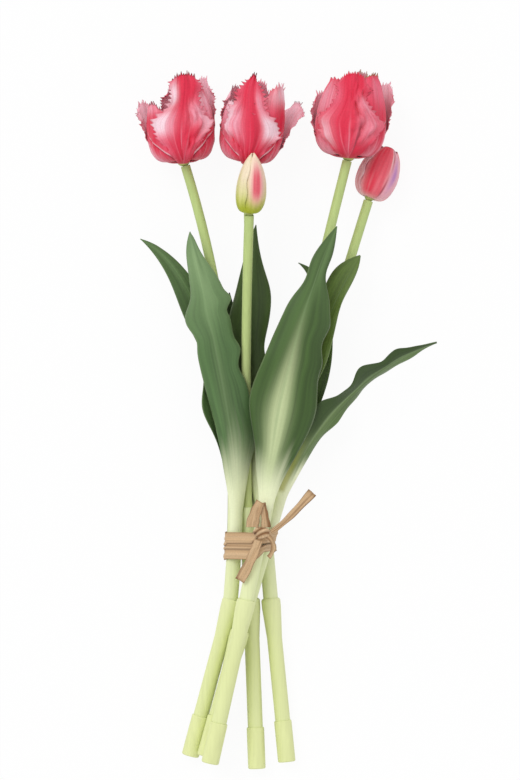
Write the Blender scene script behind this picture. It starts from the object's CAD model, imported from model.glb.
import math

import bpy
import numpy as np
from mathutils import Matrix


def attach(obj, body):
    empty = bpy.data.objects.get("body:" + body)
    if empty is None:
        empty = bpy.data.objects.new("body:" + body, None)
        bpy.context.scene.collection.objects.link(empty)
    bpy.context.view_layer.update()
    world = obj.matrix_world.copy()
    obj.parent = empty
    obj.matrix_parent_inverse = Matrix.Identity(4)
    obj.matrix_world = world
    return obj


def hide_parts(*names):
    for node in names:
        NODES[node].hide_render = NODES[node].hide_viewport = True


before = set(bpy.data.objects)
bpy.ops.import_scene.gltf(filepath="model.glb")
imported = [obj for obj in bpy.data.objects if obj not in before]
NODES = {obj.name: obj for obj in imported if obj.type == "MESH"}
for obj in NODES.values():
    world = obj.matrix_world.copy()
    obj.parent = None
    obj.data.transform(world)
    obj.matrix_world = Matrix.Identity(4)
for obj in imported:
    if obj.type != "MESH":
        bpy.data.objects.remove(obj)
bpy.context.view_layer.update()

MM = 0.001


def new_object(name, data):
    obj = bpy.data.objects.new(name, data)
    bpy.context.scene.collection.objects.link(obj)
    return obj


# Camera: straight above the bunch, with the photograph's frame of 520 by 780
PHOTO_HEIGHT = 780
MM_PER_PIXEL = 0.65
VIEW_CENTRE = (-18.5 * MM, 18.9 * MM)
VIEW_LEVEL = 22 * MM
CAMERA_DISTANCE = 5.0
SENSOR = 36.0
CLIP_END = 100

camera_data = bpy.data.cameras.new("camera")
camera_data.sensor_fit = "AUTO"
camera_data.sensor_width = SENSOR
camera_data.lens = SENSOR * CAMERA_DISTANCE / (PHOTO_HEIGHT * MM_PER_PIXEL * MM)
camera_data.clip_end = CLIP_END
camera = new_object("camera", camera_data)
camera.location = (*VIEW_CENTRE, VIEW_LEVEL + CAMERA_DISTANCE)
bpy.context.scene.camera = camera


# Vectors, noise and colours. Everything below is in millimetres until a mesh is made
HASH_STEP, HASH_SEED, HASH_SCALE = 12.9898, 78.233, 43758.5453
NOISE_ROW = 57.31
TANGENT_STEP = 0.01


def unit(v):
    v = np.asarray(v, float)
    return v / np.linalg.norm(v, axis=-1, keepdims=True)


def mix(a, b, t):
    return a + (b - a) * t


def clamp(v):
    return np.clip(v, 0.0, 1.0)


def ease(t):
    return t * t * (3 - 2 * t)


def smooth(a, b, v):
    return ease(clamp((v - a) / (b - a)))


def bell(v, middle, width):
    return np.exp(-(((v - middle) / width) ** 2))


def patch(u, t, spot, power):
    """A soft patch: the place of its middle in u and t, and its half-sizes."""
    u0, t0, du, dt = spot
    return np.exp(-(np.abs((u - u0) / du) ** power) - np.abs((t - t0) / dt) ** power)


def square_to(v, d):
    """The part of v that is square to the direction d, as a unit vector."""
    v = np.asarray(v, float)
    return unit(v - d * np.sum(v * d, axis=-1, keepdims=True))


def bezier(a, b, c, d, t):
    a, b, c, d = (np.asarray(x, float) for x in (a, b, c, d))
    return a * (1 - t) ** 3 + b * 3 * t * (1 - t) ** 2 + c * 3 * t * t * (1 - t) + d * t ** 3


def tangent(points, t, first):
    ahead = bezier(*points, np.minimum(1, t + TANGENT_STEP))
    return unit(ahead - bezier(*points, np.maximum(first, t - TANGENT_STEP)))


def hashed(n, seed):
    v = np.sin(n * HASH_STEP + seed * HASH_SEED) * HASH_SCALE
    return v - np.floor(v)


def noise1(x, seed):
    i = np.floor(x)
    f = ease(x - i)
    return hashed(i, seed) * (1 - f) + hashed(i + 1, seed) * f


def noise2(x, y, seed):
    j = np.floor(y)
    f = ease(y - j)
    return noise1(x + j * NOISE_ROW, seed) * (1 - f) + noise1(x + (j + 1) * NOISE_ROW, seed) * f


def linear(r, g, b):
    """Linear light from a colour of 0 to 255 in sRGB."""
    c = np.array([r, g, b], float) / 255
    return np.where(c <= 0.04045, c / 12.92, ((c + 0.055) / 1.055) ** 2.4)


def painted(colour, grid):
    """One colour at every point of a grid."""
    return np.zeros((*grid.shape, 3)) + colour


def tint(base, other, amount):
    return base + (np.asarray(other) - base) * np.asarray(amount)[..., None]


# Stems, as in the part's source: the middle of the socket, a point half way up and the top
SOCKET_DEPTH = 12.0
SHEATH_D = 9.6
STEMS = {
    "left_bloom": ([-38.2, -123, 14], [-37.3, 12.5, 21], [-67, 164.5, 25]),
    "centre_bloom": ([-11, -123, 7.3], [-20, -7, 8.6], [-26.5, 164.5, 25]),
    "right_bloom": ([-28.5, -123, 32], [1.5, 15.5, 34.5], [38, 167.5, 33]),
    "centre_bud": ([-24.5, -123, 7.3], [-27.5, -1, 18], [-25.5, 132, 42]),
    "right_bud": ([-33, -143.5, 17.8], [9.5, 2.5, 21], [52, 142, 14.8]),
}
HEAD_TILT = {"left_bloom": 13, "centre_bloom": 10, "right_bloom": -10, "centre_bud": 2, "right_bud": 5}
SEAT_D = {"left_bloom": 9, "centre_bloom": 9, "right_bloom": 9, "centre_bud": 6.6, "right_bud": 6.6}
SEAT_GAP = 0.3
WAIST_REACH = 150.0
HALVINGS = 30


class Arc:
    """A stem's upper axis: one arc through three points, measured from the middle of its socket."""

    def __init__(self, points):
        socket, half, top = (np.array(p, float) for p in points)
        h, w = half - socket, top - socket
        n = np.cross(h, w)
        self.centre = socket + ((w @ w) * np.cross(n, h) + (h @ h) * np.cross(w, n)) / (2 * n @ n)
        self.r = np.linalg.norm(socket - self.centre)
        self.x = unit(socket - self.centre)
        self.y = np.cross(unit(n), self.x)
        self.top = self.r * 2 * math.asin(np.linalg.norm(w) / 2 / self.r)

    def point(self, s):
        a = s / self.r
        return self.centre + self.r * (self.x * math.cos(a) + self.y * math.sin(a))

    def way(self, s):
        a = s / self.r
        return self.y * math.cos(a) - self.x * math.sin(a)

    def at_y(self, y):
        low, high = 0.0, WAIST_REACH
        for _ in range(HALVINGS):
            middle = (low + high) / 2
            if self.point(middle)[1] < y:
                low = middle
            else:
                high = middle
        return self.point(low)


ARCS = {name: Arc(points) for name, points in STEMS.items()}


def head_matrix(name):
    """From a head's own axes, with Z along the flower, to the row's frame."""
    arc = ARCS[name]
    origin, z = arc.point(arc.top), arc.way(arc.top)
    x = unit(np.cross(z, [0, 0, 1]))
    axes = np.stack([x, np.cross(z, x), z], axis=1)
    a = math.radians(HEAD_TILT[name])
    turn = np.array([[math.cos(a), 0, math.sin(a)], [0, 1, 0], [-math.sin(a), 0, math.cos(a)]])
    lift = np.array([0, 0, SEAT_D[name] / 2 - SEAT_GAP])
    return axes @ turn, origin + axes @ (lift - turn @ lift)


# Meshes
TABLE_GAP = 0.05
TINY = 1e-9


def make_object(name, points, faces, colours, uvs):
    """A piece with a colour at each point. No point lies lower than the table."""
    mesh = bpy.data.meshes.new(name)
    points = np.array(points, float)
    points[:, 2] = np.maximum(points[:, 2], TABLE_GAP)
    mesh.from_pydata([tuple(p) for p in points * MM], [], [tuple(f) for f in faces])
    rgba = np.ones((len(points), 4), np.float32)
    rgba[:, :3] = np.clip(colours, 0, 1)
    mesh.color_attributes.new("Col", "FLOAT_COLOR", "POINT").data.foreach_set("color", rgba.ravel())
    loops = np.zeros(len(mesh.loops), np.int32)
    mesh.loops.foreach_get("vertex_index", loops)
    places = np.asarray(uvs, np.float32)[loops]
    mesh.uv_layers.new(name="UVMap").data.foreach_set("uv", places.ravel())
    mesh.polygons.foreach_set("use_smooth", [True] * len(mesh.polygons))
    mesh.validate()
    mesh.update()
    return new_object(name, mesh)


def normals_of(grid):
    n = np.cross(np.gradient(grid, axis=0), np.gradient(grid, axis=1))
    return n / np.maximum(np.linalg.norm(n, axis=2, keepdims=True), TINY)


def sheet(name, grid, thick, front, back):
    """A closed sheet round a grid of points through its middle, with the colours of both sides."""
    rows, cols = grid.shape[:2]
    half = normals_of(grid) * np.broadcast_to(np.asarray(thick, float), (rows, cols))[..., None] / 2
    points = np.concatenate([(grid + half).reshape(-1, 3), (grid - half).reshape(-1, 3)])
    side = rows * cols
    faces = []
    for i in range(rows - 1):
        for j in range(cols - 1):
            a = i * cols + j
            faces.append((a, a + 1, a + cols + 1, a + cols))
            faces.append((side + a, side + a + cols, side + a + cols + 1, side + a + 1))
    rim = list(range(cols)) + [i * cols + cols - 1 for i in range(1, rows)]
    rim += [(rows - 1) * cols + j for j in range(cols - 2, -1, -1)]
    rim += [i * cols for i in range(rows - 2, 0, -1)]
    for p, q in zip(rim, rim[1:] + rim[:1]):
        faces.append((p, side + p, side + q, q))
    v, u = np.meshgrid(np.linspace(0, 1, rows), np.linspace(0, 1, cols), indexing="ij")
    uv = np.stack([u, v], axis=2).reshape(-1, 2)
    colours = np.concatenate([front.reshape(-1, 3), back.reshape(-1, 3)])
    return make_object(name, points, faces, colours, np.concatenate([uv, uv]))


# Materials
NOISE_LOW, NOISE_HIGH = 0.3, 0.7
STREAK_DETAIL, STREAK_ROUGH, GRAIN_DETAIL = 3.0, 0.6, 2.0
LIGHTER = 0.5
COAT_BUMP_DEPTH = 0.0004
MOULD_BUMP = (0.12, 0.0003)
COAT_SPECULAR, MOULD_SPECULAR = 0.3, 0.35
SHEEN_ROUGH = 0.5


def new_material(name):
    material = bpy.data.materials.new(name)
    material.use_nodes = True
    return material, material.node_tree, material.node_tree.nodes["Principled BSDF"]


def set_inputs(node, values):
    for key, value in values.items():
        node.inputs[key].default_value = value


def add(tree, kind, inputs=None, **settings):
    node = tree.nodes.new(kind)
    for key, value in settings.items():
        setattr(node, key, value)
    set_inputs(node, inputs or {})
    return node


def maths(tree, operation, first, second):
    """One operation on two outputs, or on an output and a number."""
    node = add(tree, "ShaderNodeMath", operation=operation)
    tree.links.new(first, node.inputs[0])
    if isinstance(second, float):
        node.inputs[1].default_value = second
    else:
        tree.links.new(second, node.inputs[1])
    return node.outputs["Value"]


def noise_node(tree, place, inputs, stretch=None):
    if stretch is not None:
        mapping = add(tree, "ShaderNodeMapping", {"Scale": stretch})
        tree.links.new(place, mapping.inputs["Vector"])
        place = mapping.outputs["Vector"]
    noise = add(tree, "ShaderNodeTexNoise", inputs)
    tree.links.new(place, noise.inputs["Vector"])
    return noise.outputs["Fac"]


def spread(tree, noise, low, high):
    """Noise as a factor between low and high."""
    node = add(tree, "ShaderNodeMapRange", {
        "From Min": NOISE_LOW, "From Max": NOISE_HIGH, "To Min": low, "To Max": high})
    tree.links.new(noise, node.inputs["Value"])
    return node.outputs["Result"]


def dress(tree, shader, colour, factor, height, bump, inputs):
    """Gives a shader its colour times a factor, its bump, of a strength and a depth, and its plain inputs."""
    scaled = add(tree, "ShaderNodeVectorMath", operation="SCALE")
    bumps = add(tree, "ShaderNodeBump", {"Strength": bump[0], "Distance": bump[1]})
    for source, target in (
        (colour, scaled.inputs["Vector"]), (factor, scaled.inputs["Scale"]),
        (scaled.outputs["Vector"], shader.inputs["Base Color"]), (height, bumps.inputs["Height"]),
        (bumps.outputs["Normal"], shader.inputs["Normal"]),
    ):
        tree.links.new(source, target)
    set_inputs(shader, inputs)


def coated(name, rough, streak, strength, sheen, bump, speck, speck_strength):
    """Colour from the mesh, with fine streaks along the sheet and a powdery grain."""
    material, tree, shader = new_material(name)
    colour = add(tree, "ShaderNodeVertexColor", layer_name="Col").outputs["Color"]
    place = add(tree, "ShaderNodeUVMap", uv_map="UVMap").outputs["UV"]
    where = add(tree, "ShaderNodeTexCoord").outputs["Object"]
    streaks = noise_node(tree, place, {
        "Scale": 1.0, "Detail": STREAK_DETAIL, "Roughness": STREAK_ROUGH}, (*streak, 1))
    grain = noise_node(tree, where, {"Scale": float(speck), "Detail": GRAIN_DETAIL})
    factor = maths(tree, "MULTIPLY", spread(tree, streaks, 1 - strength, 1 + strength * LIGHTER),
                   spread(tree, grain, 1 - speck_strength, 1 + speck_strength * LIGHTER))
    dress(tree, shader, colour, factor, streaks, (bump, COAT_BUMP_DEPTH), {
        "Roughness": rough, "Sheen Weight": sheen, "Sheen Roughness": SHEEN_ROUGH,
        "Specular IOR Level": COAT_SPECULAR})
    return material


def moulded(name, stops, rough=0.5, streak=0.1, scale=(700, 25, 700), low=-0.23, high=0.23, metallic=0.0):
    """Soft plastic whose colour changes along the bunch, with faint streaks along the stem."""
    material, tree, shader = new_material(name)
    where = add(tree, "ShaderNodeTexCoord").outputs["Object"]
    split = add(tree, "ShaderNodeSeparateXYZ")
    along = add(tree, "ShaderNodeMapRange", {"From Min": low, "From Max": high})
    ramp = add(tree, "ShaderNodeValToRGB")
    elements = ramp.color_ramp.elements
    while len(elements) < len(stops):
        elements.new(0.5)
    for element, (position, colour) in zip(elements, stops):
        element.position = position
        element.color = (*linear(*colour), 1)
    for source, target in (
        (where, split.inputs["Vector"]), (split.outputs["Y"], along.inputs["Value"]),
        (along.outputs["Result"], ramp.inputs["Fac"]),
    ):
        tree.links.new(source, target)
    noise = noise_node(tree, where, {"Scale": 1.0, "Detail": STREAK_DETAIL}, scale)
    dress(tree, shader, ramp.outputs["Color"], spread(tree, noise, 1 - streak, 1 + streak), noise,
          MOULD_BUMP, {"Roughness": rough, "Specular IOR Level": MOULD_SPECULAR, "Metallic": metallic})
    return material


# Roughness, streaks across and along, their strength, sheen, bump, grain and its strength
PETAL = coated("petal", 0.6, (34, 1.6), 0.12, 0.06, 0.3, 900, 0.08)
BUD_PETAL = coated("bud_petal", 0.5, (22, 1.2), 0.1, 0.06, 0.2, 900, 0.06)
LEAF = coated("leaf", 0.42, (70, 1.5), 0.1, 0.06, 0.25, 700, 0.03)
RAFFIA = coated("raffia", 0.75, (34, 2.0), 0.3, 0.1, 0.6, 1500, 0.12)

# Materials of the pieces that show the solids themselves, by the ending of the node's name
CAD_MATERIALS = {
    "_stem": moulded("stem", [
        (0, (216, 223, 158)), (0.45, (206, 217, 150)), (0.62, (184, 202, 130)), (1, (182, 201, 126))],
        streak=0.05),
    "_sheath": moulded("sheath", [
        (0, (222, 229, 172)), (0.35, (226, 233, 182)), (0.5, (228, 236, 194)), (1, (214, 224, 172))],
        streak=0.04),
    "_lower_tube": moulded("lower_tube", [
        (0, (222, 229, 168)), (0.15, (220, 227, 164)), (0.3, (226, 232, 176)), (1, (226, 232, 176))],
        streak=0.04),
    "_foot": moulded("foot", [(0, (222, 228, 164)), (1, (222, 228, 166))], streak=0.05, scale=(500, 60, 500)),
    "_receptacle": moulded("receptacle", [(0, (176, 184, 110)), (1, (176, 184, 110))], scale=(600, 600, 600)),
    "_stamens": moulded("stamens", [(0, (196, 190, 96)), (1, (120, 96, 60))], scale=(900, 300, 900),
                        low=0.17, high=0.2),
    "_stem_wire": moulded("stem_wire", [(0, (150, 150, 150)), (1, (160, 160, 160))], rough=0.35,
                          scale=(900, 60, 900), metallic=1.0),
}
for name, obj in NODES.items():
    for ending, material in CAD_MATERIALS.items():
        if name.endswith(ending):
            obj.data.materials.clear()
            obj.data.materials.append(material)


def finish_piece(obj, material, body, node):
    obj.data.materials.append(material)
    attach(obj, body)
    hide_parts(node)


# Leaves: as in the part's source, with more waves, a midrib, fine veins and a thin skirt down the sheath.
# t runs along a leaf or petal from 0 to 1, and u across it from -1 to 1
LEAF_T = 1.2
LEAF_EDGE_T, LEAF_BASE_T = 0.25, 0.12
LEAF_GAP = 0.2
LEAF_WRAP = math.radians(62)
LEAF_REACH = 0.35
LEAF_OPENING, OPENING_POWER = 0.35, 1.2
LEAF_HOLLOW = 34.0
LEAF_END = 0.995
LEAF_TURN = 1.3
LEAF_ROWS, LEAF_COLS = 110, 30
LEAST_HALF = 0.3
BASE_R = SHEATH_D / 2 + LEAF_GAP + LEAF_T / 2
BASE_T = 0.12
SKIRT_END = -76.0
SKIRT_ROWS = 10
LEAST_SKIRT = 3.0
WAVE_TURNS, WAVE_WIDENS, EDGE_PHASE = 2.2, 0.09, 130
WAVE_FROM, WAVE_FADE = 0.2, 0.2
RIPPLE, RIPPLE_TURNS, RIPPLE_PHASE = 0.7, 6.3, 2.1
RIB, RIB_HALF = 0.5, 0.07
RIB_SHOWS, RIB_LINE = -0.12, 0.03
INSIDE_RIB, INSIDE_LIGHT = 0.4, 0.5
INSIDE_SEED = 10

GREEN_GREY = linear(80, 110, 64)
GREEN_DARK = linear(46, 68, 27)
GREEN_DEEP = linear(72, 98, 54)
GREEN_BACK = linear(70, 98, 50)
PALE_BASE = linear(238, 244, 202)
PALE_RIB = linear(208, 220, 168)
MARGIN = linear(150, 166, 120)
LEAF_LIGHT = linear(140, 168, 118)
LEAF_YELLOW = linear(172, 172, 74)

# Form: the start above the collar, the way the back faces at the base and at the tip, the point that the
# leaf bows towards and its tip, its width, the share of the length at which it is widest, the size and the
# phase of its waves, how sharply it narrows, and lobes: edge, share of the length, reach and fade.
# Look: colours of the face and the back, the share of the length that is pale at the base, and the
# strengths of the pale midrib and of the lighter upper part
LEAVES = {
    "left_bloom_front_leaf": (
        dict(stem="left_bloom", start=60, base_back=[0.3, 0, 1], tip_back=[-0.3, 0, 1], bow=[-56, 93, 37],
             tip=[-64, 122, 33], width=29, belly=0.26, wave_size=2.4, phase=40, taper=4.5,
             lobes=[[1, 0.23, 6, 0.06], [-1, 0.22, -4, 0.1], [-1, 0.62, 6.5, 0.05], [-1, 0.54, -1.5, 0.03],
                    [1, 0.47, -3, 0.1], [1, 0.66, 3.5, 0.025], [1, 0.62, -1.5, 0.02], [1, 0.49, 3.5, 0.03],
                    [1, 0.43, -1.5, 0.03], [1, 0.86, -3.5, 0.1]]),
        dict(face=GREEN_GREY, back=GREEN_DEEP, pale=0.105, rib=0.06, light=0.75)),
    "left_bloom_back_leaf": (
        dict(stem="left_bloom", start=74, base_back=[-0.6, 0, -1], tip_back=[-0.1, 0, -1], bow=[-60, 99, 12],
             tip=[-97, 117.5, 13], width=24, belly=0.3, wave_size=2, phase=200, taper=2.6,
             lobes=[[1, 0.26, 7, 0.08], [1, 0.48, -3, 0.1]]),
        dict(face=GREEN_BACK, back=GREEN_BACK, pale=0.06, rib=0.1, light=0.4)),
    "centre_bloom_front_leaf": (
        dict(stem="centre_bloom", start=60, base_back=[-0.2, 0, 1], tip_back=[-0.2, 0, 1], bow=[-31, 66, 13],
             tip=[-21, 127, 27], width=30, belly=0.5, wave_size=1, phase=0, taper=3.2,
             lobes=[[-1, 0.64, 3, 0.12], [1, 0.74, 5, 0.12], [1, 0.54, -3, 0.08]]),
        dict(face=linear(62, 82, 36), back=GREEN_DARK, pale=0.1, rib=0.3, light=0.1)),
    "right_bloom_front_leaf": (
        dict(stem="right_bloom", start=62, base_back=[-0.25, 0, 1], tip_back=[0.3, 0, 1], bow=[9, 76, 50],
             tip=[31.5, 125.5, 47], width=46, belly=0.36, wave_size=2, phase=120, taper=2.6,
             lobes=[[-1, 0.76, -4, 0.07], [-1, 0.3, 5, 0.1], [-1, 0.1, 4, 0.07], [1, 0.8, -5, 0.07],
                    [1, 0.63, 2.4, 0.035], [1, 0.56, -1.2, 0.03], [1, 0.49, 2.2, 0.035]]),
        dict(face=linear(68, 96, 44), back=GREEN_DARK, pale=0.08, rib=0.8, light=0.2)),
    "right_bloom_side_leaf": (
        dict(stem="right_bloom", start=72, base_back=[0.3, 0, -1], tip_back=[0.3, 0, -1], bow=[29, 84, 25.5],
             tip=[47, 106.5, 28], width=23, belly=0.5, wave_size=1.2, phase=0, taper=5,
             lobes=[[1, 0.85, 3, 0.1], [-1, 0.68, -4, 0.15]]),
        dict(face=linear(74, 98, 38), back=linear(92, 116, 48), pale=0.1, rib=0.2, light=0.1)),
    "centre_bud_leaf": (
        dict(stem="centre_bud", start=46, base_back=[-0.3, 0, -1], tip_back=[-0.2, 0, -1],
             bow=[-37.5, 48, 3.4], tip=[-38.5, 83, 5], width=17, belly=0.5, wave_size=0.8, phase=0, taper=4,
             lobes=[]),
        dict(face=GREEN_DARK, back=GREEN_DARK, pale=0.1, rib=0.1, light=0.0)),
    "right_bud_spread_leaf": (
        dict(stem="right_bud", start=92, base_back=[0.75, 0, 0.7], tip_back=[0.3, -0.8, 0.6],
             bow=[57, 39, 28], tip=[97, 50, 22], width=22, belly=0.35, wave_size=2.4, phase=0, taper=3,
             lobes=[[1, 0.35, -4, 0.2], [-1, 0.63, 5.5, 0.05], [-1, 0.55, -2.5, 0.04], [-1, 0.8, 3, 0.04],
                    [-1, 0.72, -2, 0.03], [-1, 0.4, 3, 0.06], [-1, 0.48, -1.5, 0.04]]),
        dict(face=linear(98, 122, 72), back=GREEN_DEEP, pale=0.07, rib=0.1, light=0.1)),
    "right_bud_back_leaf": (
        dict(stem="right_bud", start=94, base_back=[-0.3, 0, -1], tip_back=[0.2, 0, -1], bow=[42, 84, 9],
             tip=[6, 102, 8], width=22, belly=0.5, wave_size=1, phase=90, taper=2.6, lobes=[]),
        dict(face=linear(56, 80, 30), back=linear(66, 90, 36), pale=0.1, rib=0.1, light=0.1)),
}


def leaf_skirt(arc, s, base_back, u):
    """Rows of a film on the sheath, from under the tie up to the leaf's start."""
    reach = max(LEAST_SKIRT, (arc.point(s)[1] - SKIRT_END) / arc.way(s)[1])
    turn = u[0] * LEAF_WRAP
    rows = []
    for step in range(SKIRT_ROWS):
        z = s - reach * (1 - step / SKIRT_ROWS)
        way = arc.way(z)
        away = square_to(base_back, way)
        ring = np.outer(np.cos(turn), away) + np.outer(np.sin(turn), np.cross(way, away))
        rows.append(arc.point(z) + ring * (SHEATH_D / 2 + BASE_T))
    return np.array(rows)


def leaf_grid(stem, start, base_back, tip_back, bow, tip, width, belly, wave_size, phase, taper, lobes):
    arc = ARCS[stem]
    s = SOCKET_DEPTH / 2 + start
    d = arc.way(s)
    out = square_to(base_back, d)
    root = arc.point(s) + out * BASE_R
    lift = root + d * np.linalg.norm(np.array(tip) - root) * LEAF_REACH
    t = (np.linspace(0, 1, LEAF_ROWS + 1) * LEAF_END)[:, None]
    u = np.linspace(-1, 1, LEAF_COLS + 1)[None, :]
    middle = bezier(root, lift, bow, tip, t)
    along = tangent((root, lift, bow, tip), t, -TANGENT_STEP)
    back = square_to(mix(out, np.array(tip_back, float), clamp(t * LEAF_TURN)), along)
    across = np.cross(along, back)
    r = mix(BASE_R, LEAF_HOLLOW, clamp(t / LEAF_OPENING) ** OPENING_POWER)
    wave = np.sin(2 * math.pi * WAVE_TURNS * t + np.radians(phase + np.where(u > 0, EDGE_PHASE, 0)))
    opened = clamp((t - WAVE_FROM) / WAVE_FADE) * (1 - t ** 4)
    full = mix(BASE_R * LEAF_WRAP, width / 2, np.sin(math.pi / 2 * clamp(t / belly)) ** 2)
    half = full * (1 - t ** taper) * (1 + WAVE_WIDENS * wave * opened)
    for edge, share, out_by, fade in lobes:
        half = half + np.where(u * edge > 0, out_by * bell(t, share, fade), 0.0)
    a = u * np.maximum(half, LEAST_HALF) / r
    drop = r * (1 - np.cos(a)) - wave_size * wave * u * u * opened
    turns = 2 * math.pi * RIPPLE_TURNS * t + phase + RIPPLE_PHASE * np.sign(u)
    ripple = RIPPLE * np.sin(turns) * np.abs(u) ** 5 * opened
    rib = RIB * bell(u, 0, RIB_HALF) * smooth(0.05, 0.3, t) * (1 - t) + ripple
    rib = rib + (BASE_R - SHEATH_D / 2 - BASE_T) * (1 - smooth(0.0, 0.12, t))
    side = (r * np.sin(a))[..., None]
    grid = middle[:, None, :] + across[:, None, :] * side - back[:, None, :] * (drop + rib)[..., None]
    grid = np.concatenate([leaf_skirt(arc, s, base_back, u), grid])
    return grid, np.concatenate([np.zeros((SKIRT_ROWS, 1)), t]), u


def leaf_colours(t, u, face, pale, rib, light, seed):
    side = np.abs(u)
    veins = 0.6 * noise2(u * 14 + 3 * t, t * 3, seed) + 0.4 * noise2(u * 45, t * 4, seed + 2) - 0.5
    soft = noise2(u * 3, t * 6, seed + 5) - 0.5
    colour = painted(face, t * u) * (1 + 0.6 * veins + 0.35 * soft)[..., None]
    colour = tint(colour, GREEN_DARK, 0.35 * rib * smooth(0.4, 0.95, side))
    upper = light * smooth(0.45, 0.85, t) * (1 + soft) * (1 - 0.4 * side)
    colour = tint(colour, LEAF_LIGHT, clamp(upper))
    glow = bell(u, RIB_SHOWS, 0.12 + 0.34 * (1 - t) ** 2) * (1 - smooth(0.3, 0.75, t))
    colour = tint(colour, PALE_RIB, clamp(rib * glow * (1 + 0.5 * veins)))
    line = bell(u, RIB_SHOWS, RIB_LINE) * smooth(0.15, 0.3, t) * (1 - smooth(0.8, 1.0, t))
    colour = tint(colour, LEAF_LIGHT, 0.35 * line)
    colour = tint(colour, PALE_BASE, 1 - smooth(pale * 0.3, pale * 2.4, t * (1 + 0.25 * veins + 0.5 * soft)))
    return tint(colour, MARGIN, 0.35 * smooth(0.93, 1.0, side) * smooth(0.1, 0.3, t))


def spread_leaf_colours(colour, t, u):
    """Dark along the left half, with a yellow band and a pale right side at the base."""
    colour = tint(colour, GREEN_DARK, 0.85 * smooth(0.05, 0.25, -u) * smooth(0.15, 0.35, t))
    band = 0.7 * smooth(0.0, 0.6, -u) * smooth(0.005, 0.03, t) * (1 - smooth(0.1, 0.3, t))
    colour = tint(colour, LEAF_YELLOW, band)
    return tint(colour, PALE_BASE, smooth(0.0, 0.3, u) * (1 - smooth(0.1, 0.22, t)))


for seed, (name, (form, look)) in enumerate(LEAVES.items(), 1):
    grid, t, u = leaf_grid(**form)
    face, back, pale, rib, light = look.values()
    outer = leaf_colours(t, u, face, pale, rib, light, seed)
    inner = leaf_colours(t, u, back, pale, rib * INSIDE_RIB, light * INSIDE_LIGHT, seed + INSIDE_SEED)
    if name == "right_bud_spread_leaf":
        outer = spread_leaf_colours(outer, t, u)
    thick = LEAF_T * (LEAF_EDGE_T + (1 - LEAF_EDGE_T) * (1 - np.abs(u) ** 6))
    thick = thick * mix(LEAF_BASE_T, 1.0, smooth(0.0, 0.15, t))
    finish_piece(sheet(name + "_blade", grid, thick, inner, outer), LEAF, "bunch", name)


# Petals
CRIMSON = linear(223, 40, 72)
ROSE = linear(238, 112, 136)
PINK = linear(244, 164, 182)
PALE = linear(250, 218, 228)
DEEP = linear(184, 26, 50)
DARK_TIP = linear(104, 30, 40)
SEAM_LINE = linear(150, 24, 46)
OLIVE = linear(128, 118, 52)
PETAL_T = 1.1
PETAL_GAP = 0.15
OUTER_FOOT, INNER_FOOT = 2.6, 5.0
WIDEST = math.radians(74)
BULGE_SUM = 2.44
SHOULDER = 0.72
NECK, NECK_FADE = 0.72, 0.12
WAVES, WAVE_SHARE = 6.0, 0.05
CURL_FROM = 0.6
CROWN_WAVES, CROWN_RUFFLE = 8, 0.8
CREASE_HALF = 0.08
PLEATS, PLEAT_NOISE = 11, 1.6
PETAL_ROWS, PETAL_COLS = 150, 60
BUD_ROWS, BUD_COLS = 80, 30

# Shape of one tooth on the sides and on the crown, and its share by rows or columns from the edge
SIDE_TOOTH = np.array([0.0, 0.3, 0.75, 1.0, 0.55, 0.15])
TOP_TOOTH = np.array([0.0, 0.45, 1.0, 0.6, 0.1])
EDGE_SHARE = {0: 1.0, 1: 0.55, 2: 0.2}
RIGHT_TEETH, TOP_TEETH = 31, 77
FLARE_SEED = 2.5
SIDE_LEAST, SIDE_MORE, SIDE_FLARE, SIDE_LIFT = 0.3, 0.9, 0.3, 0.35
TOP_LEAST, TOP_MORE, TOP_FLARE = 0.35, 0.8, 0.4

# The fold line on a side petal: u as a curve in t, moved over for a petal on the right, and its groove
SEAM = (-0.715, -0.853, 4.15)
SEAM_SHIFT = 0.1
GROOVE, GROOVE_DEPTH, GROOVE_WIDTH = 0.03, 1.0, 0.06

# Half-width of a petal along its length, as a share of its widest
TONGUE = [(0, 0.16), (0.15, 0.2), (0.29, 0.36), (0.42, 0.64), (0.52, 0.9), (0.58, 1.0), (0.66, 0.68),
          (0.73, 0.43), (0.8, 0.4), (0.88, 0.46), (0.95, 0.44), (1, 0.34)]
SLIM = [(0, 0.16), (0.15, 0.22), (0.29, 0.46), (0.42, 0.76), (0.55, 1.0), (0.64, 0.68), (0.72, 0.42),
        (0.8, 0.37), (0.88, 0.4), (0.95, 0.38), (1, 0.3)]
POINTED = [(0, 0.16), (0.15, 0.2), (0.29, 0.38), (0.42, 0.66), (0.52, 0.92), (0.57, 1.0), (0.66, 0.68),
           (0.74, 0.47), (0.84, 0.4), (0.93, 0.27), (1, 0.08)]
BROAD = [(0, 0.42), (0.12, 0.62), (0.3, 0.95), (0.5, 1.0), (0.7, 0.92), (0.88, 0.74), (1, 0.42)]
CLOSED = [(0, 0.6), (0.15, 0.85), (0.4, 1.0), (0.65, 0.95), (0.85, 0.75), (1, 0.35)]
STOP_STEPS = 201
STOP_BLUR = 17


def along_stops(t, stops):
    fine = np.linspace(0, 1, STOP_STEPS)
    values = np.interp(fine, [x for x, _ in stops], [y for _, y in stops])
    values = np.pad(values, STOP_BLUR // 2, mode="edge")
    return np.interp(t, fine, np.convolve(values, np.ones(STOP_BLUR) / STOP_BLUR, mode="valid"))


def seam_line(t, u, way):
    return way * u - SEAM[0] - SEAM[1] * t - SEAM[2] * t * t - SEAM_SHIFT * (way + 1)


def seam_share(t):
    return smooth(0.08, 0.16, t) * (1 - smooth(0.6, 0.72, t))


def comb(place, inset, shape):
    """Which tooth each point near an edge belongs to, and its share of that tooth's reach."""
    share = sum(np.where(inset == k, w, 0.0) for k, w in EDGE_SHARE.items())
    return np.floor(place / len(shape)), share * shape[place % len(shape)]


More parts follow.
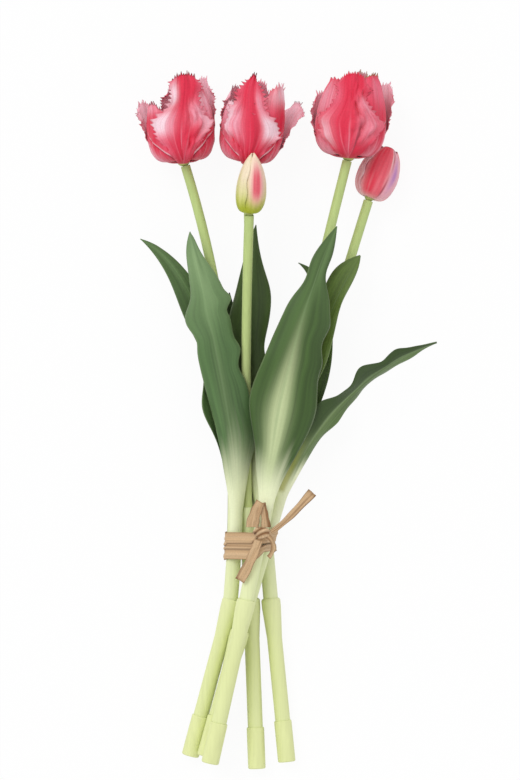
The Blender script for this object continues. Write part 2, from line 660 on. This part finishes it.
def petal_grid(head, foot_z, q, size, seed, stops, fringe=2.7, ruffle=1.0, pinch=0.0, crease=0.5, spiral=0.0,
               crown=0.14, droop=0.0, pleat=0.25, bulge=1.22, lay=0.0, lean=0.0, crumple=None, seam=0):
    azimuth, belly, height, tip_r, width, curl = q
    rows, cols = size
    t = np.linspace(0, 1, rows + 1)[:, None]
    u = np.linspace(-1, 1, cols + 1)[None, :]
    right = np.where(u > 0, 1.0, 0.0)
    opened = smooth(0.12, 0.4, t)

    # Profile from the receptacle, and the width round it
    foot_r = SEAT_D[head] / 2 + PETAL_GAP + PETAL_T / 2
    m = bezier([foot_r, foot_z], [belly * bulge, foot_z - 1 - droop],
               [belly * (BULGE_SUM - bulge), height * SHOULDER], [tip_r, height], t)
    mr, mz = m[:, :1] * (1 - pinch * bell(t, NECK, NECK_FADE)), m[:, 1:]
    half = np.minimum(width / 2 * along_stops(t, stops), mr * WIDEST)
    swing = np.sin(2 * math.pi * WAVES * 0.5 * t + seed + 2 * right)
    half = half * (1 + WAVE_SHARE * swing * np.abs(u) ** 3)
    a = u * half / mr + lean * smooth(0.4, 1.0, t)

    # Curl, ruffles, creases and folds
    curled = curl * clamp((t - CURL_FROM) / (1 - CURL_FROM)) ** 2
    wave = ruffle * np.abs(u) ** 3 * opened * np.sin(2 * math.pi * WAVES * t + seed * 1.7 + 1.3 * right)
    wave = wave + ruffle * CROWN_RUFFLE * smooth(0.78, 1.0, t) * np.sin(u * CROWN_WAVES + seed)
    fold = -crease * bell(u, 0, CREASE_HALF) * smooth(0.04, 0.2, t) * (1 - 0.6 * t)
    fold = fold + pleat * np.sin(u * PLEATS + seed + 0.8 * np.sin(4 * t + seed)) * smooth(0.05, 0.35, t)
    fold = fold + pleat * PLEAT_NOISE * (noise2(u * 2.5 + seed, t * 5, seed) - 0.5) * opened
    r = mr + curled + wave + fold + spiral * u * opened + lay * smooth(0.3, 0.5, t) * u * u
    if seam:
        r = r - GROOVE_DEPTH * bell(seam_line(t, u, seam), GROOVE, GROOVE_WIDTH) * seam_share(t)
    if crumple:
        bumps = noise2(u * 7 + seed, t * 16, seed + 9) - 0.5
        r = r + crumple[-1] * patch(u, t, crumple[:-1], 3) * bumps
    z = mz - crown * height * np.abs(u) ** 2.5 * t ** 3

    # Teeth along the sides and the crown
    if fringe > 0:
        row = np.arange(rows + 1)[:, None]
        col = np.arange(cols + 1)[None, :]
        tooth, share = comb(row, np.minimum(col, cols - col), SIDE_TOOTH)
        tooth = tooth + RIGHT_TEETH * right
        reach = share * (fringe * (SIDE_LEAST + SIDE_MORE * hashed(tooth, seed)) * smooth(0.28, 0.5, t))
        a = a + np.sign(u) * reach / mr
        r = r + reach * (hashed(tooth, seed + FLARE_SEED) - SIDE_FLARE)
        z = z + reach * SIDE_LIFT
        tooth, share = comb(col, rows - row, TOP_TOOTH)
        tooth = tooth + TOP_TEETH
        reach = share * fringe * (TOP_LEAST + TOP_MORE * hashed(tooth, seed))
        z = z + reach
        r = r + reach * (hashed(tooth, seed + FLARE_SEED) - TOP_FLARE)
    way = math.radians(azimuth) + a
    local = np.stack([r * np.cos(way), r * np.sin(way), z + 0 * a], axis=2)
    turn, origin = head_matrix(head)
    return local @ turn.T + origin, t, u


def petal_thickness(t, u, edge, tip):
    """Thinner towards the sides and the tip, where these shares of the thickness are left."""
    return PETAL_T * (edge + (1 - edge) * (1 - np.abs(u) ** 4)) * (1 - (1 - tip) * t ** 2)


def petal_colours(t, u, seed, zones=(), edge=0.35, rib=0.5, tips=None, lobe=0):
    side = np.abs(u)
    broad = noise2(u * 3 + seed, t * 4, seed + 7) - 0.5
    streak = noise2(u * 12 + seed, t * 2.2, seed) - 0.5
    fine = noise2(u * 40 + seed, t * 5, seed + 3) - 0.5
    pale = edge * smooth(0.45, 1.0, side) * smooth(0.15, 0.45, t) + 0.4 * streak + 0.25 * fine + 0.6 * broad
    colour = tint(painted(CRIMSON, t * u), ROSE, clamp(pale + 0.12))
    colour = tint(colour, DEEP, 0.6 * (1 - smooth(0.05, 0.42, t)))
    line = bell(u, 0, 0.03) + 0.5 * bell(side, 0.3 * smooth(0, 0.4, t), 0.025)
    colour = tint(colour, PINK, clamp(rib * line * smooth(0.02, 0.1, t) * (1 - smooth(0.4, 0.65, t))))
    if lobe:
        away, share = seam_line(t, u, lobe), seam_share(t)
        colour = tint(colour, PINK, clamp(smooth(0.0, 0.6, away) * share * (0.5 + 0.6 * fine + 0.8 * broad)))
        colour = tint(colour, PALE, 0.75 * bell(away, -0.06, 0.035) * share)
        colour = tint(colour, SEAM_LINE, 0.95 * bell(away, GROOVE, 0.04) * share)
    for *spot, paint, strength in zones:
        colour = tint(colour, paint, clamp(strength * patch(u, t, spot, 2.4) * (1 + 0.7 * fine + 0.5 * streak)))
    colour = tint(colour, DEEP, 0.4 * smooth(0.955, 1.0, side) * smooth(0.35, 0.5, t))
    if tips is not None:
        colour = tint(colour, tips, 0.85 * smooth(0.985, 1.0, t))
    return colour


# Each petal: azimuth, belly radius, height, tip radius, width and curl; its form; its colours, with zones of
# u, t, their half-sizes, a colour and its strength
FRONT = dict(crown=0.1, lay=1.0, ruffle=1.0, droop=6, bulge=1.3)
SIDE = dict(stops=BROAD, ruffle=0.6, droop=7, bulge=1.29, pleat=0.3, crease=1.0)
FAR = dict(stops=BROAD, ruffle=0.6, droop=-1, bulge=1.12, pleat=0.2)
BLOOMS = {
    "left_bloom": {
        "outer": [
            ([-91, 22.8, 58.5, 16, 42, 1],
             dict(FRONT, stops=TONGUE, pinch=0.06, crease=1.1, crown=0.06, lean=0.3,
                  crumple=(0.6, 0.56, 0.45, 0.2, 6.0)),
             dict(zones=[(-0.66, 0.57, 0.4, 0.1, PINK, 1.0), (-0.78, 0.58, 0.26, 0.08, PALE, 1.1),
                         (-0.85, 0.82, 0.35, 0.12, PALE, 0.9), (0.66, 0.64, 0.4, 0.1, PINK, 0.9),
                         (0.9, 0.56, 0.2, 0.1, PALE, 0.4), (0.1, 0.88, 0.5, 0.12, CRIMSON, 0.8)],
                  tips=DARK_TIP)),
            ([142, 20.2, 43, 25, 32, 5], FAR,
             dict(zones=[(0.0, 0.8, 0.9, 0.25, PALE, 0.8), (0.8, 0.25, 0.3, 0.2, PINK, 0.6)])),
            ([38, 19.6, 56, 19, 32, 2], FAR,
             dict(zones=[(-0.5, 0.8, 0.5, 0.2, PINK, 0.9), (0.0, 0.95, 0.9, 0.1, PALE, 0.7)])),
        ],
        "inner": [
            ([-35, 20.2, 48, 16, 46, 1], SIDE,
             dict(zones=[(0.1, 0.8, 0.7, 0.16, PINK, 0.9), (-0.3, 0.9, 0.5, 0.1, PALE, 0.6)],
                  rib=0.35, lobe=1)),
            ([90, 17.5, 54, 11, 36, 0], SIDE,
             dict(zones=[(0, 0.8, 0.7, 0.2, PINK, 0.7)])),
            ([203, 20.2, 41, 18, 46, 2], SIDE,
             dict(zones=[(0, 0.95, 0.8, 0.1, PINK, 0.7)], rib=0.35, lobe=-1, tips=DARK_TIP)),
        ],
    },
    "centre_bloom": {
        "outer": [
            ([-91, 21.6, 60, 11, 42, 0],
             dict(FRONT, stops=POINTED, pinch=0.05, crease=0.6, crown=0.06, lean=-0.4, lay=0.6, bulge=1.28,
                  droop=4, crumple=(-0.7, 0.55, 0.4, 0.22, 4.0)),
             dict(zones=[(0.75, 0.57, 0.34, 0.1, PALE, 1.3), (-0.7, 0.58, 0.34, 0.12, PINK, 1.0),
                         (-0.9, 0.6, 0.2, 0.12, PALE, 0.7), (0.7, 0.75, 0.35, 0.1, PINK, 0.7),
                         (0.12, 0.6, 0.26, 0.45, CRIMSON, 0.95), (0.2, 0.45, 0.1, 0.25, DEEP, 0.45)],
                  tips=DARK_TIP)),
            ([34, 19.2, 43, 27, 30, 6], FAR,
             dict(zones=[(0.0, 0.8, 0.9, 0.25, PALE, 0.9), (-0.6, 0.3, 0.3, 0.2, PINK, 0.6)], tips=DARK_TIP)),
            ([142, 18.4, 48, 18, 32, 1], FAR,
             dict(zones=[(0.4, 0.75, 0.6, 0.25, PINK, 0.9), (0.6, 0.92, 0.5, 0.1, PALE, 0.6)], tips=DARK_TIP)),
        ],
        "inner": [
            ([-30, 19, 55, 14, 44, 1], SIDE,
             dict(zones=[(0.2, 0.92, 0.8, 0.12, PALE, 0.8), (0.7, 0.65, 0.25, 0.2, PINK, 0.6)],
                  rib=0.35, lobe=1)),
            ([92, 16.5, 54, 9, 34, 0], SIDE,
             dict(zones=[(0, 0.8, 0.7, 0.2, PINK, 0.6)])),
            ([207, 18.6, 41, 17, 46, 1], SIDE,
             dict(zones=[(-0.1, 0.8, 0.5, 0.2, PINK, 1.0), (0.2, 0.95, 0.8, 0.1, PALE, 0.9)],
                  rib=0.35, lobe=-1, tips=DARK_TIP)),
        ],
    },
    "right_bloom": {
        "outer": [
            ([-92, 24.6, 55.5, 15, 50, 0],
             dict(FRONT, stops=SLIM, pinch=0.04, crease=0.4, crown=0.07, crumple=(0.5, 0.6, 0.5, 0.25, 6.0)),
             dict(zones=[(-0.8, 0.45, 0.24, 0.14, PALE, 0.5), (0.6, 0.52, 0.34, 0.14, PINK, 0.6),
                         (0.3, 0.4, 0.05, 0.16, SEAM_LINE, 0.7), (0.7, 0.7, 0.4, 0.08, PINK, 0.7),
                         (-0.1, 0.85, 0.6, 0.2, CRIMSON, 0.85)], edge=0.3)),
            ([38, 21.8, 52, 23, 36, 4], FAR,
             dict(zones=[(-0.3, 0.9, 0.6, 0.12, PINK, 0.7), (0.3, 0.95, 0.6, 0.1, PALE, 0.8)])),
            ([142, 22, 43, 22.5, 36, 3], FAR,
             dict(zones=[(0.5, 0.8, 0.5, 0.2, PINK, 0.8), (0.7, 0.7, 0.3, 0.2, PALE, 0.5)])),
        ],
        "inner": [
            ([-33, 22, 56, 14, 50, 1], SIDE,
             dict(zones=[(0.0, 0.85, 0.7, 0.15, ROSE, 0.8)], rib=0.35, lobe=1, tips=OLIVE)),
            ([62, 19, 58, 10, 32, 0], SIDE,
             dict(zones=[(0, 0.9, 0.7, 0.12, OLIVE, 0.8)], tips=OLIVE)),
            ([208, 22, 52, 14, 50, 1], SIDE,
             dict(zones=[(0.0, 0.78, 0.7, 0.2, PINK, 0.7)], rib=0.35, lobe=-1)),
        ],
    },
}
RINGS = {"outer": OUTER_FOOT, "inner": INNER_FOOT}
INSIDE_PINK, INSIDE_PALE = 0.6, 0.3

seed = 1
for head, sets in BLOOMS.items():
    for ring, foot_z in RINGS.items():
        for number, (q, form, look) in enumerate(sets[ring], 1):
            seed += 1
            grid, t, u = petal_grid(head, foot_z, q, (PETAL_ROWS, PETAL_COLS), seed,
                                    seam=look.get("lobe", 0), **form)
            colour = petal_colours(t, u, seed, **look)
            inside = tint(tint(colour, PINK, INSIDE_PINK), PALE, INSIDE_PALE)
            thick = petal_thickness(t, u, 0.2, 0.4)
            obj = sheet(f"{head}_{ring}_petal_{number}", grid, thick, inside, colour)
            finish_piece(obj, PETAL, head + "_head", f"{head}_{ring}_petals")


# Buds
YELLOW_GREEN = linear(172, 182, 36)
GREEN_CREAM = linear(214, 214, 128)
CREAM = linear(244, 226, 196)
SHELL = linear(246, 190, 186)
BLUSH = linear(232, 96, 112)
RUST = linear(226, 150, 96)
BUD_PINK = linear(234, 108, 122)
BUD_RED = linear(232, 60, 82)
BUD_EDGE = linear(247, 206, 212)
BUD_BASE = linear(246, 204, 196)
STRIP_PINK = linear(240, 176, 188)
STRIP_LINE = linear(150, 52, 72)
STRIP_LIGHT = linear(250, 224, 226)
MAUVE = linear(186, 128, 190)


def green_bud_colours(t, u, number, fine):
    colour = tint(painted(CREAM, t * u), GREEN_CREAM, 1 - smooth(0.3, 0.75, t + 0.1 * fine))
    colour = tint(colour, YELLOW_GREEN, 1 - smooth(0.2, 0.5, t + 0.1 * fine))
    if number == 1:
        colour = tint(colour, SHELL, clamp(1.3 * patch(u, t, (-0.1, 0.62, 0.42, 0.26), 2.4)))
        return tint(colour, BLUSH, clamp(patch(u, t, (-0.13, 0.6, 0.26, 0.2), 3) * (1.1 + 0.8 * fine)))
    colour = tint(colour, YELLOW_GREEN, clamp(0.4 * bell(u, 0.4, 0.14) * (1 - smooth(0.6, 0.95, t))))
    return tint(colour, RUST, clamp(0.6 * smooth(0.05, 0.4, -u) * smooth(0.1, 0.3, t)))


def pink_bud_colours(t, u, number, fine):
    red = bell(u, -0.15, 0.4) * smooth(0.1, 0.35, t) * (1 + 2.6 * fine)
    colour = tint(painted(BUD_PINK, t * u), BUD_RED, clamp(0.9 * red))
    colour = tint(colour, BUD_EDGE, clamp(0.9 * smooth(0.3, 0.9, np.abs(u)) * (1 + 1.2 * fine)))
    colour = tint(colour, BUD_BASE, 0.6 * (1 - smooth(0.0, 0.25, t)))
    if number == 1:
        strip = u - 0.42 - 0.12 * (t - 0.5)
        low = smooth(0.05, 0.2, t)
        colour = tint(colour, STRIP_PINK, 0.85 * smooth(0.0, 0.04, strip) * low)
        colour = tint(colour, MAUVE, clamp(0.95 * patch(strip, t, (0.2, 0.62, 0.12, 0.22), 2)))
        colour = tint(colour, STRIP_LINE, 0.8 * bell(strip, 0, 0.025) * low)
        colour = tint(colour, STRIP_LIGHT, 0.7 * bell(strip, -0.06, 0.03) * smooth(0.3, 0.6, t))
    return tint(colour, DARK_TIP, 0.6 * smooth(0.98, 1.0, t))


BUDS = {
    "centre_bud": {
        "slot": "green_bud_petals",
        "colours": green_bud_colours,
        "outer": [[-55, 9.4, 41, 0.9, 27, 0], [72, 8.8, 41, 0.9, 27, 0], [180, 9.4, 41, 0.9, 27, 0]],
        "inner": [[a, 7.4, 36, 2.4, 18, 0] for a in (20, 140, 260)],
    },
    "right_bud": {
        "slot": "pink_bud_petals",
        "colours": pink_bud_colours,
        "outer": [[a, 12.8, 37, 6, 36, 0] for a in (-90, 30, 150)],
        "inner": [[a, 10.6, 34, 5, 24, 0] for a in (-30, 90, 210)],
    },
}
BUD_FORM = dict(stops=CLOSED, fringe=0, ruffle=0.1, crease=0.25, spiral=0.7, crown=0.1, pleat=0.06)

for head, sets in BUDS.items():
    for ring, foot_z in RINGS.items():
        for number, q in enumerate(sets[ring], 1):
            seed += 1
            grid, t, u = petal_grid(head, foot_z, q, (BUD_ROWS, BUD_COLS), seed, **BUD_FORM)
            colour = sets["colours"](t, u, number, noise2(u * 26 + seed, t * 3, seed) - 0.5)
            thick = petal_thickness(t, u, 0.3, 0.5)
            obj = sheet(f"{head}_{ring}_petal_{number}", grid, thick, colour, colour)
            finish_piece(obj, BUD_PETAL, head + "_head", f"{head}_{ring}_petals")


# Tie
TAN = linear(205, 169, 127)
TAN_LIGHT = linear(222, 190, 150)
TAN_DARK = linear(142, 102, 66)
TAN_FOLD = linear(92, 58, 34)
STRIP_T = 0.8
STRIP_W = 9.0
TIE_Y = -81.5
TIE_GAP = 0.3
SLANT = 1.1
TIE_INNER = SHEATH_D / 2 * SLANT + TIE_GAP
WRAP_STEPS, WRAP_ROWS = 160, 18
WRAP_UV = (2, 6)
RIBBON_ROWS, RIBBON_COLS = 60, 12
FLAT_T = STRIP_T * 0.6


def waist_ring(y, grow, drift):
    """A ring round all stems at y, grown by an amount per step and moved along the bunch by a drift."""
    centres = [arc.at_y(y)[[0, 2]] for arc in ARCS.values()]
    ring = []
    for s in range(WRAP_STEPS):
        a = 2 * math.pi * s / WRAP_STEPS
        d = np.array([math.cos(a), math.sin(a)])
        p = max(centres, key=lambda c: c @ d) + d * grow[s]
        ring.append([p[0], y + drift[s], p[1]])
    return np.array(ring)


def wrap(name, y0, y1, seed, slope, spare, fold):
    """One wrap of the strip, with its slope, the extra width at its right and the line of a lapped fold."""
    angle = np.arange(WRAP_STEPS) / WRAP_STEPS * 2 * math.pi
    across, up = np.cos(angle), np.sin(angle)
    outside, inside, colours = [], [], []
    for i in range(WRAP_ROWS + 1):
        v = i / WRAP_ROWS
        y = mix(y0, y1, v)
        drift = slope * across + 0.35 * np.sin(angle * 3 + seed) + spare * (1 - v) * smooth(0.1, 1.0, across)
        crush = noise2(v * 6 + across * 1.2, up * 1.2 + 3, seed) - 0.35
        ridge = noise1(v * 13 + across * 1.5, seed + 6) - 0.4
        edge = 0.3 * (1 - abs(2 * v - 1) ** 6)
        over = v - fold[0] - fold[1] * (across + 1)
        lap = 0.6 * bell(over, 0.12, 0.14) - 0.4 * bell(over, 0, 0.05)
        grow = TIE_INNER + FLAT_T + 0.6 * crush + 0.35 * ridge + edge + lap
        outside.append(waist_ring(y, grow, drift))
        inside.append(waist_ring(y, np.full(WRAP_STEPS, TIE_INNER), drift))
        shade = noise2(v * 9 + across * 0.6, up * 1.5, seed + 4)
        row = tint(painted(TAN, angle), TAN_LIGHT, 0.9 * shade)
        hem = 0.8 * clamp(1 - np.minimum(v, 1 - v) * 10)
        row = tint(row, TAN_DARK, clamp(hem + 0.7 * smooth(0.55, 0.9, -ridge + 0.4)))
        colours.append(tint(row, TAN_FOLD, 0.8 * bell(over, 0, 0.045)))
    loop = outside + inside[::-1]
    count = len(loop)
    faces, uv = [], []
    for i in range(count):
        for s in range(WRAP_STEPS):
            near, far = i * WRAP_STEPS, (i + 1) % count * WRAP_STEPS
            after = (s + 1) % WRAP_STEPS
            faces.append((near + s, near + after, far + after, far + s))
            uv.append((i / count * WRAP_UV[0], s / WRAP_STEPS * WRAP_UV[1]))
    paint = np.concatenate(colours + colours[::-1])
    obj = make_object(name + "_strip", np.concatenate(loop), faces, paint, uv)
    finish_piece(obj, RAFFIA, "bunch", name)


wrap("tie_upper_wrap", TIE_Y + TIE_GAP / 2, TIE_Y + STRIP_W, 3, 1.2, 0.0, (0.0, 0.6))
wrap("tie_lower_wrap", TIE_Y - STRIP_W, TIE_Y - TIE_GAP / 2, 8, 0.9, 3.5, (0.72, 0.12))

KNOT_SIZE = (5.8, 4.1, 2.6)
KNOT_X, KNOT_Y = -17.5, -73.5
KNOT_ROWS, KNOT_COLS = 36, 60
KNOT_HOLE = (-4.4, -0.4, 1.3, 1.2)
STRAND = 0.07
wrap_top = max(arc.at_y(KNOT_Y)[2] for arc in ARCS.values()) + TIE_INNER + STRIP_T
KNOT = np.array([KNOT_X, KNOT_Y, wrap_top + KNOT_SIZE[2] + TIE_GAP])


def ribbon(node, label, points, w0, w1, seed, fold, curl=0.0, dark=0.0):
    """A loose strip through points that are measured from the knot, from one width to another."""
    points = [KNOT + np.array(p, float) for p in points]
    t = np.linspace(0, 1, RIBBON_ROWS + 1)[:, None]
    u = np.linspace(-1, 1, RIBBON_COLS + 1)[None, :]
    middle = bezier(*points, t)
    along = tangent(points, t, 0)
    across = square_to(np.cross([0, 0, 1.0], along), along)
    up = np.cross(along, across)
    width = mix(w0, w1, t) / 2 * (1 + 0.06 * np.sin(t * 15 + seed))
    crumple = fold * (noise2(u * 2.6 + seed, t * 3, seed) - 0.5) + curl * u * u * t
    grid = middle[:, None, :] + across[:, None, :] * (u * width)[..., None] + up[:, None, :] * crumple[..., None]
    shade = noise2(u * 7 + seed, t * 2, seed + 2)
    pleat = noise2(u * 4 + seed, t * 1.5, seed + 5)
    colour = tint(painted(TAN, shade), TAN_LIGHT, 0.9 * shade)
    hem = 0.6 * smooth(0.8, 1.0, np.abs(u)) + 0.6 * smooth(0.94, 1.0, t) + 0.6 * smooth(0.6, 0.9, pleat)
    colour = tint(colour, TAN_DARK, clamp(hem))
    colour = tint(colour, TAN_DARK, dark * smooth(0.1, 0.5, -u))
    obj = sheet(label + "_strip", grid, FLAT_T, colour, colour)
    finish_piece(obj, RAFFIA, "bunch", node)


ribbon("tie_ear", "tie_ear", ([-6, 3.6, 0.8], [-5.6, 9, 2], [-3.6, 15, 2.2], [-0.6, 20, 1.4]),
       8.5, 6, 4, fold=1.2, dark=0.3)
ribbon("tie_ear", "tie_ear_fold", ([3, 3.4, 0.0], [2.6, 8, 1.0], [1.8, 14, 1.0], [0.8, 19.4, 0.4]),
       6, 3.4, 5, fold=0.9, dark=0.9)
ribbon("tie_long_tail", "tie_long_tail", ([6, 0.5, -0.5], [14, 5, -1], [22, 14, -4], [33, 26, -8]),
       2.6, 6.0, 6, fold=0.8)
ribbon("tie_short_tail", "tie_short_tail", ([-2, -5, 0], [-5, -14, 0.5], [-9, -22, 0], [-14, -31, -4]),
       5.6, 6.8, 9, fold=0.9, curl=0.8)
ribbon("tie_lower_wrap", "tie_loop", ([3.5, -2, 0.6], [9, -5, -0.5], [8.5, -12, -2.5], [4.5, -16, -2]),
       3.2, 2.6, 12, fold=0.5, dark=0.6)


def knot():
    """An oval of twisted strands with a dark hole at its left."""
    points, colours, faces, uv = [], [], [], []
    for i in range(KNOT_ROWS + 1):
        b = math.pi * i / KNOT_ROWS - math.pi / 2
        for j in range(KNOT_COLS):
            a = 2 * math.pi * j / KNOT_COLS
            p = np.array([math.cos(b) * math.cos(a), math.cos(b) * math.sin(a), math.sin(b)]) * KNOT_SIZE
            strand = math.sin(1.5 * p[1] - 0.7 * p[0] + 0.08 * p[0] * p[0])
            points.append(KNOT + p * (1 - STRAND + STRAND * strand))
            light = mix(TAN_DARK, TAN_LIGHT, 0.45 + 0.5 * strand)
            colours.append(mix(light, TAN_FOLD, 0.9 * patch(p[0], p[1], KNOT_HOLE, 2)))
            uv.append((j / KNOT_COLS * 2, i / KNOT_ROWS))
    for i in range(KNOT_ROWS):
        for j in range(KNOT_COLS):
            a, b = i * KNOT_COLS + j, i * KNOT_COLS + (j + 1) % KNOT_COLS
            faces.append((a, b, b + KNOT_COLS, a + KNOT_COLS))
    obj = make_object("tie_knot_fold", points, faces, np.array(colours), uv)
    finish_piece(obj, RAFFIA, "bunch", "tie_knot")


knot()


# Floor, light and world. The floor shows white to the camera and to reflections, and keeps the shadow
FLOOR_HALF = 6
FLOOR_GREY = (0.9, 0.9, 0.9, 1)
FLOOR_GLOW = 0.93
WHITE = (1, 1, 1, 1)
WORLD_STRENGTH = 0.82
KEY_ENERGY = 0.9
KEY_SPREAD = math.radians(30)
KEY_TURN = (math.radians(-28), math.radians(-26), 0)

floor_mesh = bpy.data.meshes.new("floor")
corners = [(x * FLOOR_HALF, y * FLOOR_HALF, 0) for x, y in ((-1, -1), (1, -1), (1, 1), (-1, 1))]
floor_mesh.from_pydata(corners, [], [(0, 1, 2, 3)])
floor = new_object("floor", floor_mesh)
material, tree, shader = new_material("floor")
set_inputs(shader, {"Base Color": FLOOR_GREY, "Roughness": 0.9, "Specular IOR Level": 0.0})
glow = add(tree, "ShaderNodeEmission", {"Color": WHITE, "Strength": 1.0})
path = add(tree, "ShaderNodeLightPath")
seen = path.outputs["Is Camera Ray"]
for ray in ("Is Glossy Ray", "Is Transmission Ray"):
    seen = maths(tree, "MAXIMUM", seen, path.outputs[ray])
blend = add(tree, "ShaderNodeMixShader")
for source, target in (
    (maths(tree, "MULTIPLY", seen, FLOOR_GLOW), blend.inputs["Fac"]),
    (shader.outputs["BSDF"], blend.inputs[1]),
    (glow.outputs["Emission"], blend.inputs[2]),
    (blend.outputs["Shader"], tree.nodes["Material Output"].inputs["Surface"]),
):
    tree.links.new(source, target)
floor_mesh.materials.append(material)

world = bpy.data.worlds.new("world")
world.use_nodes = True
set_inputs(world.node_tree.nodes["Background"], {"Color": WHITE, "Strength": WORLD_STRENGTH})
bpy.context.scene.world = world

key_data = bpy.data.lights.new("key", "SUN")
key_data.energy = KEY_ENERGY
key_data.angle = KEY_SPREAD
key = new_object("key", key_data)
key.rotation_euler = KEY_TURN

bpy.context.scene.view_settings.view_transform = "Standard"
